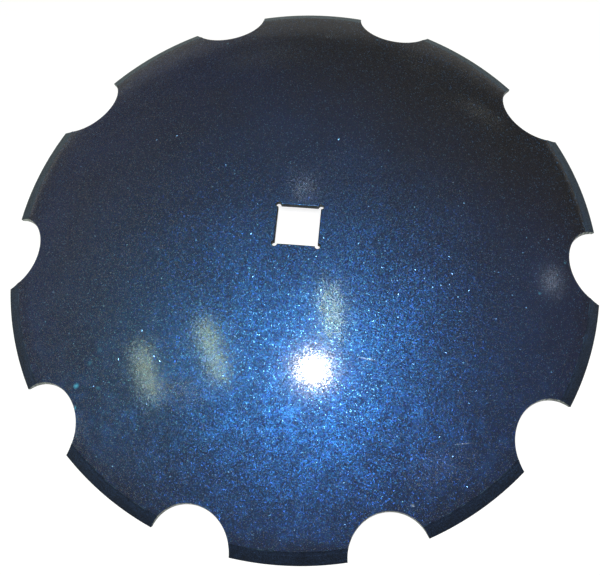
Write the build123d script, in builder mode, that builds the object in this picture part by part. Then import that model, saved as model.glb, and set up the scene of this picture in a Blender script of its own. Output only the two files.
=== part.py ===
from build123d import *

import os
from math import asin, cos, degrees, sin

# A notched disc blade for a harrow, in millimetres. It is one piece of hardened steel
# plate: a round blank pressed to a spherical dish, with a bevel ground on its convex
# side, round notches in its rim and a square hole for the axle. It lies dome up.
# The origin is on the axis, in the plane of the rim. +Z is the axis, towards the dome.
# The flats of the axle hole face along X and Y.

# The plate and its dish
blade_diameter = 610.0  # across the cutting edges of the lobes
plate_thickness = 6.0
dish_radius = 555.0  # radius of the hollow side

# The bevel, ground on the convex side all round the rim
bevel_width = 16.0  # along the convex side
edge_thickness = 3.0  # plate left at the cutting edge

# The notches, round in plan and spaced evenly round the rim
notch_count = 10
notch_radius = 40.5
notch_depth = 35.5  # from the rim inwards
notch_turn = 3.0  # degrees from +X to the first notch

# The axle hole
hole_flats = 41.0  # across opposite flats
hole_relief_radius = 2.5  # round relief at each corner

# The break on the punched edges of the hole and the notches, on the convex side
edge_break = 0.8

# Both faces of the dish are spheres round one centre, on the axis below the rim.
# Its half section is drawn by radius and by angle from the axis.
outside_radius = dish_radius + plate_thickness
rim_angle = asin(blade_diameter / 2 / (dish_radius + edge_thickness))
bevel_angle = rim_angle - bevel_width / outside_radius
centre_drop = dish_radius * cos(rim_angle)
dome_height = outside_radius - centre_drop
notch_centre_radius = blade_diameter / 2 - notch_depth + notch_radius


def from_centre(radius, angle):
    """A point of the half section, given from the centre of the dish."""
    return (radius * sin(angle), radius * cos(angle) - centre_drop)


with BuildPart() as disc_blade:
    # The bevelled dish, one half section turned round the axis
    with BuildSketch(Plane.XZ):
        with BuildLine():
            hollow = CenterArc((0, -centre_drop), dish_radius, 90, -degrees(rim_angle))
            edge = Line(hollow @ 1, from_centre(dish_radius + edge_thickness, rim_angle))
            bevel = Line(edge @ 1, from_centre(outside_radius, bevel_angle))
            dome = CenterArc(
                (0, -centre_drop),
                outside_radius,
                90 - degrees(bevel_angle),
                degrees(bevel_angle),
            )
            Line(dome @ 1, hollow @ 0)
        make_face()
    revolve(axis=Axis.Z)

    # The axle hole, square with a round relief at each corner
    with BuildSketch(Plane.XY):
        Rectangle(hole_flats, hole_flats)
        with GridLocations(hole_flats, hole_flats, 2, 2):
            Circle(hole_relief_radius)
    extrude(amount=dome_height, mode=Mode.SUBTRACT)

    # The notches, cut along the axis
    with BuildSketch(Plane.XY):
        with PolarLocations(notch_centre_radius, notch_count, start_angle=notch_turn):
            Circle(notch_radius)
    extrude(amount=dome_height, mode=Mode.SUBTRACT)

    # The broken edges, where the punched walls meet the convex side
    convex_side = faces().filter_by(GeomType.SPHERE).sort_by(SortBy.RADIUS)[-1]
    punched_walls = faces().filter_by(GeomType.CYLINDER) + faces().filter_by(GeomType.PLANE)
    chamfer(convex_side.edges() & punched_walls.edges(), edge_break)

disc_blade.part.label = "disc_blade"
os.makedirs("parts", exist_ok=True)
export_step(disc_blade.part, "parts/disc_blade.step")
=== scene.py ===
from math import acos, asin, atan2, cos, pi, radians, sin, sqrt

import bmesh
import bpy
from mathutils import Matrix, Vector


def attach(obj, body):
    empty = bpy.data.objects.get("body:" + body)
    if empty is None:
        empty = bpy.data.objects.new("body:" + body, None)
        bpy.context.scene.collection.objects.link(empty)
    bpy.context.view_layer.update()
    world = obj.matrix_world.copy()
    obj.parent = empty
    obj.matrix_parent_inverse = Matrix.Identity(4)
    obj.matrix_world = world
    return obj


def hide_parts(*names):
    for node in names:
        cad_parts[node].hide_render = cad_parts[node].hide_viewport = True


# A notched harrow disc blade, painted in dark blue metallic paint. It lies dome up on a
# pale floor, with its axis on Z. Lengths are in metres, and angles in radians.

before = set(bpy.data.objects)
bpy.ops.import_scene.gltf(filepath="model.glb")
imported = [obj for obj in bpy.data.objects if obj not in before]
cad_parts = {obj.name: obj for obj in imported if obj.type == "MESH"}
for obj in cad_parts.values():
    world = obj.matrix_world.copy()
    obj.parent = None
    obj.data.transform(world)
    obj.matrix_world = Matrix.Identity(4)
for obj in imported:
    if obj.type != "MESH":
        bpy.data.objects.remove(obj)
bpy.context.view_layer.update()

mm = 0.001

# The driving sizes of the blade, as in its solid
rim_radius = 305 * mm
plate_thickness = 6 * mm
dish_radius = 555 * mm
bevel_width = 16 * mm
edge_thickness = 3 * mm
notch_count = 10
notch_radius = 40.5 * mm
notch_depth = 35.5 * mm
notch_turn = radians(3)
hole_half = 41 * mm / 2
relief_radius = 2.5 * mm
edge_break = 0.8 * mm

# The half section of the dish: both faces are spheres round one centre below the rim
outside_radius = dish_radius + plate_thickness
rim_angle = asin(rim_radius / (dish_radius + edge_thickness))
centre_drop = dish_radius * cos(rim_angle)
crease_angle = rim_angle - bevel_width / outside_radius
crease_radius = outside_radius * sin(crease_angle)
crease_height = outside_radius * cos(crease_angle) - centre_drop
edge_top = (dish_radius + edge_thickness) * cos(rim_angle) - centre_drop
hollow_rim_radius = dish_radius * sin(rim_angle)
notch_centre = Vector((rim_radius - notch_depth + notch_radius, 0, 0))

# How finely the blade is divided
notch_steps = 14  # along half a notch
lobe_steps = 12  # along half a lobe
collar_width = 4 * mm  # a band of even faces round each notch
collar_rings = 4
bevel_rings = 5
field_radius = 45 * mm  # inside it, the faces follow the axle hole
field_rings = 36
hole_rings = 4
hole_collar = 2.5 * mm  # a like band round the axle hole
hole_collar_rings = 2
relief_steps = 30
flat_steps = notch_count * (notch_steps + lobe_steps) // 2 - relief_steps
wall_rings = 3
break_segments = 4
merge_gap = 0.001 * mm
near = 0.02 * mm  # how close counts as on a line
sharp_angle = radians(12)
PAINT, BEVEL, WALL, HOLLOW = range(4)  # the blade's material slots


def at(radius, angle):
    return Vector((radius * cos(angle), radius * sin(angle), 0))


def all_of(bm):
    return bm.verts[:] + bm.edges[:] + bm.faces[:]


def merge(bm):
    bmesh.ops.remove_doubles(bm, verts=bm.verts, dist=merge_gap)


def sweep(bm, start, centre, turns):
    """Sweeps a chain of edges from a point round an upright line, in (angle, steps) turns."""
    end = bm.verts.new(start)
    for angle, steps in turns:
        swept = bmesh.ops.spin(
            bm, geom=[end], cent=centre, axis=(0, 0, 1), angle=angle, steps=steps
        )
        end = swept["geom_last"][0]
    return end


def repeat(bm, count):
    """Copies what is drawn evenly round the axis, and joins the copies."""
    copies = count - 1
    bmesh.ops.spin(
        bm, geom=all_of(bm), axis=(0, 0, 1), angle=2 * pi * copies / count, steps=copies,
        use_duplicate=True,
    )
    merge(bm)


def take_in(bm, other):
    """Moves what another mesh holds into this one."""
    mesh = bpy.data.meshes.new("taken_in")
    other.to_mesh(mesh)
    other.free()
    bm.from_mesh(mesh)
    bpy.data.meshes.remove(mesh)


def edges_where(bm, test):
    return [e for e in bm.edges if all(test(v.co) for v in e.verts)]


def edges_at_radius(bm, radius):
    return edges_where(bm, lambda co: abs(co.xy.length - radius) < near)


def open_edges(bm, low, high):
    """The edges between two radii that lack a face on one side or both."""
    between = edges_where(bm, lambda co: low < co.xy.length < high)
    return [e for e in between if len(e.link_faces) < 2]


def bridge(bm, edges, rings):
    """Joins two chains of edges by a band of faces, divided into rings."""
    across = bmesh.ops.bridge_loops(bm, edges=edges)["edges"]
    if rings > 1:
        bmesh.ops.subdivide_edges(bm, edges=across, cuts=rings - 1, use_grid_fill=True)


def meeting_angle(radius, circle):
    """Where a circle round a notch meets a radius, as an angle at the axis from the notch's middle."""
    along = (radius**2 + notch_centre.x**2 - circle**2) / (2 * notch_centre.x)
    return acos(along / radius)


def half_notch(bm, outer_radius):
    """Half a notch, half a lobe and the field inside them, flat, with the notch's middle on +X."""
    collar = notch_radius + collar_width
    half_pitch = pi / notch_count
    collar_angle = meeting_angle(crease_radius, collar)
    wall_angle = meeting_angle(crease_radius, notch_radius)
    corner_angle = meeting_angle(outer_radius, notch_radius)
    patch_angle = collar_angle - wall_angle

    for circle, end_angle in ((collar, collar_angle), (notch_radius, wall_angle)):
        from_end = notch_centre - at(crease_radius, end_angle)
        spread = atan2(-from_end.y, from_end.x)
        sweep(bm, notch_centre - Vector((circle, 0, 0)), notch_centre, [(-spread, notch_steps)])
    bridge(bm, bm.edges[:], collar_rings)

    sweep(bm, at(crease_radius, collar_angle), (0, 0, 0), [(half_pitch - collar_angle, lobe_steps)])
    sweep(bm, at(outer_radius, corner_angle), (0, 0, 0), [
        (patch_angle, collar_rings),
        (half_pitch - corner_angle - patch_angle, lobe_steps),
    ])
    merge(bm)
    bridge(bm, edges_at_radius(bm, crease_radius) + edges_at_radius(bm, outer_radius), bevel_rings)
    for vert in bm.verts:
        from_notch = vert.co - notch_centre
        if vert.co.xy.length > crease_radius + near and from_notch.length < notch_radius:
            vert.co = notch_centre + notch_radius * from_notch.normalized()

    def on_field_edge(co):
        from_notch = (co - notch_centre).length
        on_crease = abs(co.length - crease_radius) < near
        return abs(from_notch - collar) < near or (on_crease and from_notch > collar)

    sweep(bm, at(field_radius, 0), (0, 0, 0), [(half_pitch, notch_steps + lobe_steps)])
    bridge(bm, edges_where(bm, on_field_edge) + edges_at_radius(bm, field_radius), field_rings)


def hole_outline(collar):
    """The outline of the axle hole, flat, grown into the plate by a collar."""
    bm = bmesh.new()
    corner = Vector((hole_half, hole_half, 0))
    radius = relief_radius + collar
    first_angle = -acos(collar / radius)
    first = corner + at(radius, first_angle)
    last = sweep(bm, first, corner, [(pi / 2 - 2 * first_angle, relief_steps)])
    flat = bm.edges.new((last, bm.verts.new((-first.y, first.x, 0))))
    bmesh.ops.subdivide_edges(bm, edges=[flat], cuts=flat_steps - 1)
    repeat(bm, 4)
    return bm


def sheet(outer_radius, height):
    """One face of the blade, made flat and then pressed to its height over each radius."""
    bm = bmesh.new()
    half_notch(bm, outer_radius)
    bmesh.ops.mirror(bm, geom=all_of(bm), axis="Y", merge_dist=merge_gap)
    bmesh.ops.rotate(bm, verts=bm.verts, matrix=Matrix.Rotation(notch_turn, 3, "Z"))
    repeat(bm, notch_count)
    take_in(bm, hole_outline(hole_collar))
    bridge(bm, open_edges(bm, 0, field_radius + near), hole_rings)
    take_in(bm, hole_outline(0))
    bridge(bm, open_edges(bm, 0, field_radius - near), hole_collar_rings)
    for vert in bm.verts:
        vert.co.z = height(vert.co.xy.length)
    return bm


def convex_height(radius):
    if radius <= crease_radius:
        return sqrt(outside_radius**2 - radius**2) - centre_drop
    down_bevel = (radius - crease_radius) / (rim_radius - crease_radius)
    return crease_height + (edge_top - crease_height) * down_bevel


def hollow_height(radius):
    return sqrt(dish_radius**2 - radius**2) - centre_drop


def is_punched(edge):
    """Whether an edge is where a punched wall meets the convex side inside the bevel."""
    return {f.material_index for f in edge.link_faces} == {PAINT, WALL} and all(
        v.co.xy.length < crease_radius + near
        and v.co.z > convex_height(v.co.xy.length) - near
        for v in edge.verts
    )


def blade():
    bm = sheet(rim_radius, convex_height)
    for face in bm.faces:
        if face.calc_center_median().xy.length > crease_radius:
            face.material_index = BEVEL
    hollow = sheet(hollow_rim_radius, hollow_height)
    for face in hollow.faces:
        face.material_index = HOLLOW
    take_in(bm, hollow)
    for low, high in ((0, field_radius), (field_radius, 2 * rim_radius)):
        old = set(bm.faces)
        bridge(bm, open_edges(bm, low, high), wall_rings)
        for face in set(bm.faces) - old:
            face.material_index = WALL
    bmesh.ops.recalc_face_normals(bm, faces=bm.faces)
    broken = set(bmesh.ops.bevel(
        bm, geom=[e for e in bm.edges if is_punched(e)], offset=edge_break, offset_type="OFFSET",
        segments=break_segments, profile=0.5, affect="EDGES", material=-1, clamp_overlap=True,
    )["faces"])
    # Painted shade: round the hole the broken edges take the near-black wall colour, but for the one
    # towards +Y
    for face in broken:
        middle = face.calc_center_median()
        if middle.xy.length < field_radius and middle.y < hole_half:
            face.material_index = WALL
    for edge in bm.edges:
        beside = sum(f in broken for f in edge.link_faces)
        edge.smooth = beside == 2 or (beside == 0 and edge.calc_face_angle(0) < sharp_angle)
    for face in bm.faces:
        face.smooth = True
    return bm


def linear(hex_colour):
    """An sRGB hex colour as linear red, green, blue and alpha."""
    parts = [int(hex_colour[i:i + 2], 16) / 255 for i in (1, 3, 5)]
    return [c / 12.92 if c <= 0.04045 else ((c + 0.055) / 1.055) ** 2.4 for c in parts] + [1.0]


def add(tree, kind, inputs=None, out=0, **settings):
    """Adds a node with its settings and links, and gives one of its outputs. Each input is a
    value, a hex colour or the output that feeds it."""
    node = tree.nodes.new("ShaderNode" + kind)
    for name, value in settings.items():
        setattr(node, name, value)
    for name, value in (inputs or {}).items():
        if isinstance(value, bpy.types.NodeSocket):
            tree.links.new(value, node.inputs[name])
        else:
            node.inputs[name].default_value = linear(value) if isinstance(value, str) else value
    return node.outputs[out] if node.outputs else None


def new_material(name):
    material = bpy.data.materials.new(name)
    material.use_nodes = True
    tree = material.node_tree
    tree.nodes.clear()
    return material, tree


# Metallic paint: aluminium and mica flakes in a dark blue base under a clear coat, sprayed on
# steel and worn dull. Flakes that lie flat are teal and gather the light round a highlight,
# and the blue ones that lean spread it wide. A few large ones spark far from it, and
# small bright ones crowd round its edge.
flake_size = 0.7 * mm  # real flakes are under 0.1 mm, too fine to show, so clumps are drawn
spark_size = 0.9 * mm
spark_share = 0.006
glint_share = 0.03
flake_teal = "#144870"
flake_blue = "#163279"
spark_pale = "#5a8cc0"
glint_pale = "#4a86b6"

# How far the flakes and the coat over them lean, as twice the slope at the most
teal_lean = 0.3
blue_lean = 0.82
glint_lean = 0.25
spark_lean = 1.1
coat_lean = 0.05
peel_size = 4 * mm  # orange peel of the clear coat
peel_depth = 0.05 * mm

# How thick the flakes lie, as a share of the usual, and painted shade that darkens them
cloud_size = 70 * mm  # where the gun laid them thicker or thinner
cloud_least, cloud_most = 0.5, 1.5
painted_shade_way = (0.6, 0.8, 0)  # painted shade: the flakes are drawn darker this way
painted_shade_start = 60 * mm
painted_shade_full = 260 * mm
painted_shade_least = 0.3
rim_shade = 18 * mm  # painted shade: the flakes are drawn darker over this last width, down to the bevel
rim_least = 0.65
mottle_size = 15 * mm
mottle_top = -50 * mm  # the mottling grows from here towards -Y
mottle_full = -200 * mm
mottle_noise = 0.42, 0.7  # the noise where a patch starts, and where it is full
mottle_least, mottle_most = 0.95, 1.6

# Dust: specks lie all over the blade, more in the places below
speck_size = 0.25 * mm
dust_grey = "#7a7c80"
dust_share = 0.02
minus_x_share = 0.06
minus_x_start = 40 * mm  # the specks grow denser from here towards -X, greying that side
minus_x_full = 280 * mm
streak_least, streak_most = 0.3, 1.7  # how uneven the dust in a place is

# The places of dust and of marks, in millimetres and degrees: x and y of the middle, length,
# width, turn from +X, and the share that is covered at the middle
dust_places = (
    (112, 222, 90, 36, -35, 0.04),
    (172, 166, 84, 46, -30, 0.10),
    (10, 255, 34, 12, 4, 0.16),
    (-60, 215, 150, 70, 10, 0.06),
    (-98, -163, 84, 40, 0, 0.10),
    (150, -205, 90, 50, 20, 0.06),
    (-200, -205, 60, 26, 60, 0.10),
)
scratch_pale = "#a9b6c2"
chip_blue = "#4aa5cf"
marks = (
    (75, -121, 24, 2.6, -4, 0.3, scratch_pale),
    (171, -183, 22, 1.4, 13, 0.5, scratch_pale),
    (132, 189, 24, 1.2, -52, 0.25, scratch_pale),
    (196, 163, 12, 1.2, -60, 0.2, scratch_pale),
    (-257, -24, 8, 1.6, 40, 0.4, scratch_pale),
    (127, -242, 5, 4, 0, 0.6, scratch_pale),
    (-203, -159, 9, 7, 20, 0.95, chip_blue),
    (-202, -179, 6, 3, 80, 0.9, chip_blue),
    (-179, -161, 9, 5, -20, 0.35, chip_blue),
    (-190, -138, 10, 6, 30, 0.25, chip_blue),
    (-181, -126, 8, 7, 0, 0.25, chip_blue),
    (-104, 240, 4, 4, 0, 0.7, chip_blue),
    (60, 257, 4, 3, 0, 0.7, chip_blue),
    (237, -31, 5, 4, 0, 0.7, chip_blue),
    (264, 8, 4, 4, 0, 0.7, chip_blue),
)
place_height = 1000  # metres: a place of dust or a mark reaches through the blade
noise_roughness = 0.6
soft_detail, fine_detail = 2.0, 4.0


def axis_distance(tree, place):
    """How far a point of the blade is from its axis."""
    flat = add(tree, "VectorMath", {0: place, 1: (1, 1, 0)}, operation="MULTIPLY")
    return add(tree, "VectorMath", {0: flat}, "Value", operation="LENGTH")


def grains(tree, place, size):
    """A random colour and a random value for each grain."""
    found = add(tree, "TexVoronoi", {"Vector": place, "Scale": 1 / size}, "Color")
    return found, add(tree, "TexWhiteNoise", {"Vector": found}, "Value")


def spot(tree, place, x, y, length, width, turn):
    """A factor that is 1 in the middle of an oval place on the blade and falls to 0 at its edge."""
    within = add(tree, "Mapping", {
        "Vector": place,
        "Location": (x * mm, y * mm, 0),
        "Rotation": (0, 0, radians(turn)),
        "Scale": (length / 2 * mm, width / 2 * mm, place_height),
    }, vector_type="TEXTURE")
    distance = add(tree, "VectorMath", {0: within}, "Value", operation="LENGTH")
    return add(tree, "MapRange", {
        "Value": distance, "From Min": 1, "From Max": 0,
    }, interpolation_type="SMOOTHSTEP")


def leaning(tree, grain_colour, amount):
    """The surface normal, leant at random by up to half the amount for each grain."""
    lean = add(tree, "VectorMath", {0: grain_colour, 1: (0.5, 0.5, 0.5)}, operation="SUBTRACT")
    lean = add(tree, "VectorMath", {0: lean, "Scale": amount}, operation="SCALE")
    normal = add(tree, "NewGeometry", out="Normal")
    leant = add(tree, "VectorMath", {0: normal, 1: lean}, operation="ADD")
    return add(tree, "VectorMath", {0: leant}, operation="NORMALIZE")


def flake_thickness_and_shade(tree, place, side):
    """How thick the flakes lie, in clouds and mottled, times painted shade that darkens them one way
    and near the bevel.
    """
    clouds = add(tree, "TexNoise", {
        "Vector": place, "Scale": 1 / cloud_size, "Detail": fine_detail, "Roughness": noise_roughness,
    })
    clouds = add(tree, "MapRange", {"Value": clouds, "To Min": cloud_least, "To Max": cloud_most})

    # Painted shade: the flakes are drawn darker towards +X and +Y
    far_shade = add(tree, "VectorMath", {0: place, 1: painted_shade_way}, "Value", operation="DOT_PRODUCT")
    far_shade = add(tree, "MapRange", {
        "Value": far_shade, "From Min": painted_shade_start, "From Max": painted_shade_full,
    }, interpolation_type="SMOOTHSTEP")
    far_shade = add(tree, "MapRange", {"Value": far_shade, "To Min": 1.0, "To Max": painted_shade_least})

    # Painted shade: the flakes are drawn darker near the bevel
    shade = add(tree, "MapRange", {
        "Value": axis_distance(tree, place),
        "From Min": crease_radius - rim_shade, "From Max": crease_radius,
    }, interpolation_type="SMOOTHSTEP")
    shade = add(tree, "MapRange", {"Value": shade, "To Min": 1.0, "To Max": rim_least})

    patches = add(tree, "TexNoise", {
        "Vector": place, "Scale": 1 / mottle_size, "Detail": soft_detail, "Roughness": noise_roughness,
    })
    patches = add(tree, "MapRange", {
        "Value": patches, "From Min": mottle_noise[0], "From Max": mottle_noise[1],
    }, interpolation_type="SMOOTHSTEP")
    mottled = add(tree, "MapRange", {
        "Value": side["Y"], "From Min": mottle_top, "From Max": mottle_full,
    }, interpolation_type="SMOOTHSTEP")
    patches = add(tree, "Math", {0: mottled, 1: patches}, operation="MULTIPLY")
    patches = add(tree, "MapRange", {
        "Value": patches, "To Min": mottle_least, "To Max": mottle_most,
    })

    thick_and_shade = add(tree, "Math", {0: clouds, 1: far_shade}, operation="MULTIPLY")
    thick_and_shade = add(tree, "Math", {0: thick_and_shade, 1: shade}, operation="MULTIPLY")
    return add(tree, "Math", {0: thick_and_shade, 1: patches}, operation="MULTIPLY")


def dust_specks(tree, place, side, dust_places):
    """1 on each speck of dust: a few all over, more of them towards -X, and more in each place."""
    towards_minus_x = add(tree, "MapRange", {
        "Value": side["X"], "From Min": -minus_x_start, "From Max": -minus_x_full,
    }, interpolation_type="SMOOTHSTEP")
    dust = add(tree, "MapRange", {
        "Value": towards_minus_x, "To Min": dust_share, "To Max": dust_share + minus_x_share,
    })
    uneven = add(tree, "TexNoise", {
        "Vector": place, "Scale": 1 / mottle_size, "Detail": fine_detail, "Roughness": noise_roughness,
    })
    uneven = add(tree, "MapRange", {"Value": uneven, "To Min": streak_least, "To Max": streak_most})
    for *where, share in dust_places:
        amount = add(tree, "Math", {0: spot(tree, place, *where), 1: share}, operation="MULTIPLY")
        amount = add(tree, "Math", {0: amount, 1: uneven}, operation="MULTIPLY")
        dust = add(tree, "Math", {0: dust, 1: amount}, operation="ADD")
    chance = grains(tree, place, speck_size)[1]
    return add(tree, "Math", {0: chance, 1: dust}, operation="LESS_THAN")


def metallic_paint(name, dust_places=(), marks=()):
    material, tree = new_material(name)
    place = add(tree, "TexCoord", out="Object")
    side = add(tree, "SeparateXYZ", {"Vector": place}).node.outputs

    flakes, flake_kind = grains(tree, place, flake_size)
    sparks, spark_chance = grains(tree, place, spark_size)
    spark = add(tree, "Math", {0: spark_chance, 1: 1 - spark_share}, operation="GREATER_THAN")
    glint = add(tree, "Math", {0: flake_kind, 1: 1 - glint_share}, operation="GREATER_THAN")

    base = add(tree, "Mix", {0: flake_kind, 6: flake_teal, 7: flake_blue}, 2, data_type="RGBA")
    thick_and_shade = flake_thickness_and_shade(tree, place, side)
    base = add(tree, "VectorMath", {0: base, "Scale": thick_and_shade}, operation="SCALE")
    base = add(tree, "Mix", {0: glint, 6: base, 7: glint_pale}, 2, data_type="RGBA")
    base = add(tree, "Mix", {0: spark, 6: base, 7: spark_pale}, 2, data_type="RGBA")

    # What lies over the flakes: dust and marks, which don't shine as metal does
    cover = dust_specks(tree, place, side, dust_places)
    base = add(tree, "Mix", {0: cover, 6: base, 7: dust_grey}, 2, data_type="RGBA")
    for *where, share, colour in marks:
        amount = add(tree, "Math", {0: spot(tree, place, *where), 1: share}, operation="MULTIPLY")
        base = add(tree, "Mix", {0: amount, 6: base, 7: colour}, 2, data_type="RGBA")
        cover = add(tree, "Math", {0: cover, 1: amount}, operation="MAXIMUM")

    lean = add(tree, "MapRange", {"Value": flake_kind, "To Min": teal_lean, "To Max": blue_lean})
    lean = add(tree, "MapRange", {"Value": glint, "To Min": lean, "To Max": glint_lean})
    lean = add(tree, "MapRange", {"Value": spark, "To Min": lean, "To Max": spark_lean})
    leant = add(tree, "Mix", {0: spark, 6: flakes, 7: sparks}, 2, data_type="RGBA")
    peel = add(tree, "TexNoise", {
        "Vector": place, "Scale": 1 / peel_size, "Detail": soft_detail, "Roughness": noise_roughness,
    })
    coat = add(tree, "Bump", {
        "Height": peel, "Strength": 1.0, "Distance": peel_depth,
        "Normal": leaning(tree, flakes, coat_lean),
    })
    bright = add(tree, "Math", {0: spark, 1: glint}, operation="MAXIMUM")
    shader = add(tree, "BsdfPrincipled", {
        "Base Color": base,
        "Metallic": add(tree, "MapRange", {"Value": cover, "To Min": 0.97, "To Max": 0.1}),
        "Roughness": add(tree, "MapRange", {"Value": bright, "To Min": 0.44, "To Max": 0.36}),
        "Normal": leaning(tree, leant, lean),
        "Specular Tint": "#202428",
        "Coat Weight": 0.2, "Coat Roughness": 0.14, "Coat IOR": 2.0, "Coat Normal": coat,
        "Sheen Weight": 0.05, "Sheen Roughness": 1.0, "Sheen Tint": "#f0e6e4",
    })
    add(tree, "OutputMaterial", {"Surface": shader})
    return material


# The same paint, thin over the ground bevel, where it holds few flakes: near black, with the
# lines of the grinding wheel under it, worn bluish in places along the crease, and greyish
# where it mirrors the floor at a low angle
grind_spacing = 1.5 * mm  # grinding lines are near 0.2 mm apart, too fine to show
grind_detail = 3.0
grind_depth = 0.02 * mm
bevel_dark = "#0b152c"
bevel_slate = "#2a4064"
bevel_lean = 0.4
bevel_flake_least, bevel_flake_most = 0.3, 1.7  # brightness from flake to flake
edge_bright, crease_bright = 0.8, 1.3  # brightness at the cutting edge and at the crease
crease_wear = 1.2 * mm
crease_noise = 0.45, 0.7  # the noise where the wear starts, and where it is full
crease_share = 0.6
crease_blue = "#6f97b4"


def bevel_paint(name):
    material, tree = new_material(name)
    place = add(tree, "TexCoord", out="Object")
    radius = axis_distance(tree, place)
    lines = add(tree, "TexNoise", {
        "W": radius, "Scale": 1 / grind_spacing, "Detail": grind_detail,
    }, noise_dimensions="1D")
    cloud = add(tree, "TexNoise", {
        "Vector": place, "Scale": 1 / mottle_size, "Detail": fine_detail, "Roughness": noise_roughness,
    })
    slate = add(tree, "Math", {0: cloud, 1: lines}, operation="MULTIPLY")
    base = add(tree, "Mix", {0: slate, 6: bevel_dark, 7: bevel_slate}, 2, data_type="RGBA")

    flakes, flake_kind = grains(tree, place, flake_size)
    flake_bright = add(tree, "MapRange", {
        "Value": flake_kind, "To Min": bevel_flake_least, "To Max": bevel_flake_most,
    })
    up_bevel = add(tree, "MapRange", {
        "Value": radius, "From Min": rim_radius, "From Max": crease_radius,
    }, interpolation_type="SMOOTHSTEP")
    up_bevel = add(tree, "MapRange", {
        "Value": up_bevel, "To Min": edge_bright, "To Max": crease_bright,
    })
    bright = add(tree, "Math", {0: flake_bright, 1: up_bevel}, operation="MULTIPLY")
    base = add(tree, "VectorMath", {0: base, "Scale": bright}, operation="SCALE")

    on_crease = add(tree, "MapRange", {
        "Value": radius, "From Min": crease_radius + crease_wear, "From Max": crease_radius,
    }, interpolation_type="SMOOTHSTEP")
    patches = add(tree, "MapRange", {
        "Value": cloud, "From Min": crease_noise[0], "From Max": crease_noise[1],
    }, interpolation_type="SMOOTHSTEP")
    worn = add(tree, "Math", {0: on_crease, 1: patches}, operation="MULTIPLY")
    worn = add(tree, "Math", {0: worn, 1: crease_share}, operation="MULTIPLY")
    base = add(tree, "Mix", {0: worn, 6: base, 7: crease_blue}, 2, data_type="RGBA")

    ground = add(tree, "Bump", {
        "Height": lines, "Strength": 1.0, "Distance": grind_depth,
        "Normal": leaning(tree, flakes, bevel_lean),
    })
    shader = add(tree, "BsdfPrincipled", {
        "Base Color": base, "Metallic": 0.9, "Roughness": 0.4, "Normal": ground,
        "Specular Tint": "#a4b4ac",
        "Coat Weight": 0.2, "Coat Roughness": 0.3, "Coat IOR": 1.5,
        "Sheen Weight": 0.02, "Sheen Roughness": 1.0, "Sheen Tint": "#e0ecff",
    })
    add(tree, "OutputMaterial", {"Surface": shader})
    return material


# The punched walls of the hole and the notches: sheared steel, rough, with paint in its
# hollows and thin on its bright tears, so it is greyer than the sides. In the axle hole the
# walls are drawn near black, as painted shade.
tear_spacing = 2.5 * mm
tear_depth = 0.15 * mm
tear_way = (1, 1, 0.15)  # the tears run down the walls
notch_tears = 0.35, 0.75  # the noise where a tear starts, and where it is bare
hole_tears = 0.45, 0.7
wall_dark = "#333d3c"
wall_pale = "#a4aca5"
hole_painted_shade = "#05080c"


def wall_paint(name):
    material, tree = new_material(name)
    place = add(tree, "TexCoord", out="Object")
    along = add(tree, "VectorMath", {0: place, 1: tear_way}, operation="MULTIPLY")
    tears = add(tree, "TexNoise", {
        "Vector": along, "Scale": 1 / tear_spacing, "Detail": fine_detail, "Roughness": noise_roughness,
    })
    in_notch, in_hole = (
        add(tree, "MapRange", {
            "Value": tears, "From Min": start, "From Max": bare,
        }, interpolation_type="SMOOTHSTEP") for start, bare in (notch_tears, hole_tears)
    )
    notch_wall = add(tree, "Mix", {0: in_notch, 6: wall_dark, 7: wall_pale}, 2, data_type="RGBA")
    # Painted shade: the hole's walls are near black, lifted only on the tears
    hole_wall_painted_shade = add(tree, "Mix", {0: in_hole, 6: hole_painted_shade, 7: wall_dark}, 2, data_type="RGBA")
    at_hole = add(tree, "MapRange", {
        "Value": axis_distance(tree, place),
        "From Min": field_radius + hole_half, "From Max": field_radius,
    }, interpolation_type="SMOOTHSTEP")
    shader = add(tree, "BsdfPrincipled", {
        "Base Color": add(tree, "Mix", {0: at_hole, 6: notch_wall, 7: hole_wall_painted_shade}, 2, data_type="RGBA"),
        "Metallic": 0.4, "Specular IOR Level": 0.2,
        "Roughness": add(tree, "MapRange", {"Value": tears, "To Min": 0.6, "To Max": 0.4}),
        "Normal": add(tree, "Bump", {"Height": tears, "Strength": 1.0, "Distance": tear_depth}),
    })
    add(tree, "OutputMaterial", {"Surface": shader})
    return material


def finished(bm, name, materials):
    mesh = bpy.data.meshes.new(name)
    bm.to_mesh(mesh)
    bm.free()
    piece = bpy.data.objects.new(name, mesh)
    bpy.context.scene.collection.objects.link(piece)
    for material in materials:
        mesh.materials.append(material)
    return piece


disc = finished(blade(), "notched_blade", [
    metallic_paint("dark_blue_metallic_paint", dust_places, marks),
    bevel_paint("paint_on_ground_bevel"),
    wall_paint("paint_on_punched_steel"),
    metallic_paint("dark_blue_metallic_paint_inside"),
])
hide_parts("disc_blade")
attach(disc, "root")

# A pale floor under soft light
floor_half = 12000 * mm
floor_lift = 0.85


def floor():
    """Matt pale board. Seen straight or mirrored, it is lifted towards white, and keeps its shadows."""
    material, tree = new_material("pale_floor")
    rays = add(tree, "LightPath").node.outputs
    seen = rays["Is Camera Ray"]
    for ray in ("Is Glossy Ray", "Is Transmission Ray"):
        seen = add(tree, "Math", {0: seen, 1: rays[ray]}, operation="MAXIMUM")
    shader = add(tree, "BsdfPrincipled", {
        "Base Color": "#808080", "Roughness": 1.0, "Specular IOR Level": 0.0,
        "Emission Color": "#ffffff",
        "Emission Strength": add(tree, "Math", {0: seen, 1: floor_lift}, operation="MULTIPLY"),
    })
    add(tree, "OutputMaterial", {"Surface": shader})
    bm = bmesh.new()
    bmesh.ops.create_grid(bm, x_segments=1, y_segments=1, size=floor_half)
    return finished(bm, "floor", [material])


floor()

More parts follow.
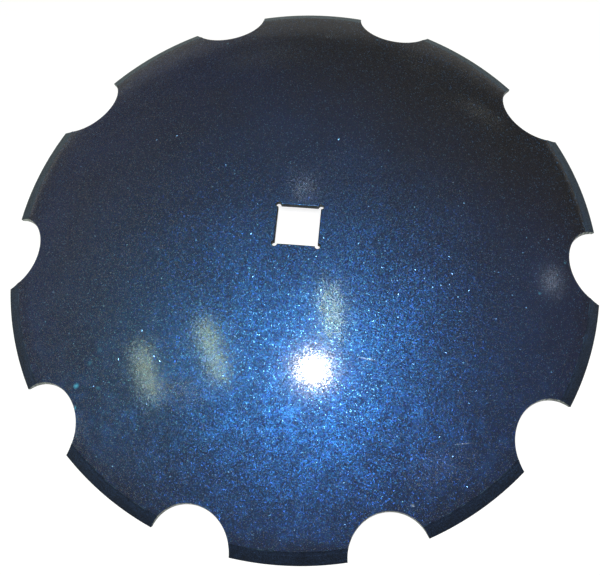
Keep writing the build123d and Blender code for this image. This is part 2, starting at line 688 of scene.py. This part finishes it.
# The camera looks down on the blade from beyond its -Y side
camera_turn = radians(11.67)
camera_tilt = radians(20.40)
camera_roll = radians(-6.61)
camera_stand = Vector((-1.79, -26.44, 984.02)) * mm  # right, up and back, from the rim's centre
camera_lens = 56.61
camera_sensor = 36

camera_axes = (
    Matrix.Rotation(camera_turn, 4, "Z")
    @ Matrix.Rotation(camera_tilt, 4, "X")
    @ Matrix.Rotation(camera_roll, 4, "Z")
)
camera_data = bpy.data.cameras.new("camera")
camera_data.lens = camera_lens
camera_data.sensor_width = camera_sensor
camera_data.clip_start = 10 * mm
camera = bpy.data.objects.new("camera", camera_data)
camera.matrix_world = camera_axes @ Matrix.Translation(camera_stand)
bpy.context.scene.collection.objects.link(camera)
bpy.context.scene.camera = camera


def lamp(name, place, across, sizes, shape, power, colour):
    """An area lamp that faces the middle of the blade, with its length along across."""
    data = bpy.data.lights.new(name, "AREA")
    data.shape = shape
    data.size, data.size_y = sizes
    data.energy = power
    data.color = linear(colour)[:3]
    holder = bpy.data.objects.new(name, data)
    back = place.normalized()
    side = across.cross(back).normalized()
    turned = Matrix((side, back.cross(side), back)).transposed().to_4x4()
    holder.matrix_world = Matrix.Translation(place) @ turned
    holder.visible_camera = False
    bpy.context.scene.collection.objects.link(holder)


# The key lamp stands just over the camera, and makes the round highlight
key_height = 35 * mm
key_size = 60 * mm
key_power = 10.0  # watts
key_place = camera_axes @ (camera_stand + Vector((0, key_height, 0)))
lamp("key_lamp", key_place, Vector((0, 1, 0)), (key_size, key_size), "DISK", key_power, "#ffffff")

# Dim tubes of the room, by the two ends of each in millimetres, its power in watts and its
# colour. The paint mirrors them as soft streaks.
tube_width = 20 * mm
for name, first, last, power, colour in (
    ("tube_1", (-944, -271, 943), (-846, -568, 925), 1.3, "#e6ffd0"),
    ("tube_2", (-605, -146, 1159), (-464, -488, 1149), 1.8, "#e6ffb0"),
    ("tube_3", (137, 104, 1276), (190, -201, 1272), 2.2, "#e6ffb8"),
    ("far_tube", (-88, 745, 1065), (-68, 662, 1114), 0.2, "#d8e8ff"),
    ("side_tube", (1250, 416, 544), (1283, 321, 542), 0.22, "#d8e8ff"),
):
    ends = [Vector(end) * mm for end in (first, last)]
    along = ends[1] - ends[0]
    lamp(name, (ends[0] + ends[1]) / 2, along, (tube_width, along.length), "RECTANGLE", power, colour)

room_strength = 0.06
world = bpy.data.worlds.new("room")
world.use_nodes = True
room_light = world.node_tree.nodes["Background"].inputs
room_light["Color"].default_value = linear("#ffffff")
room_light["Strength"].default_value = room_strength
bpy.context.scene.world = world
bpy.context.scene.view_settings.view_transform = "Standard"
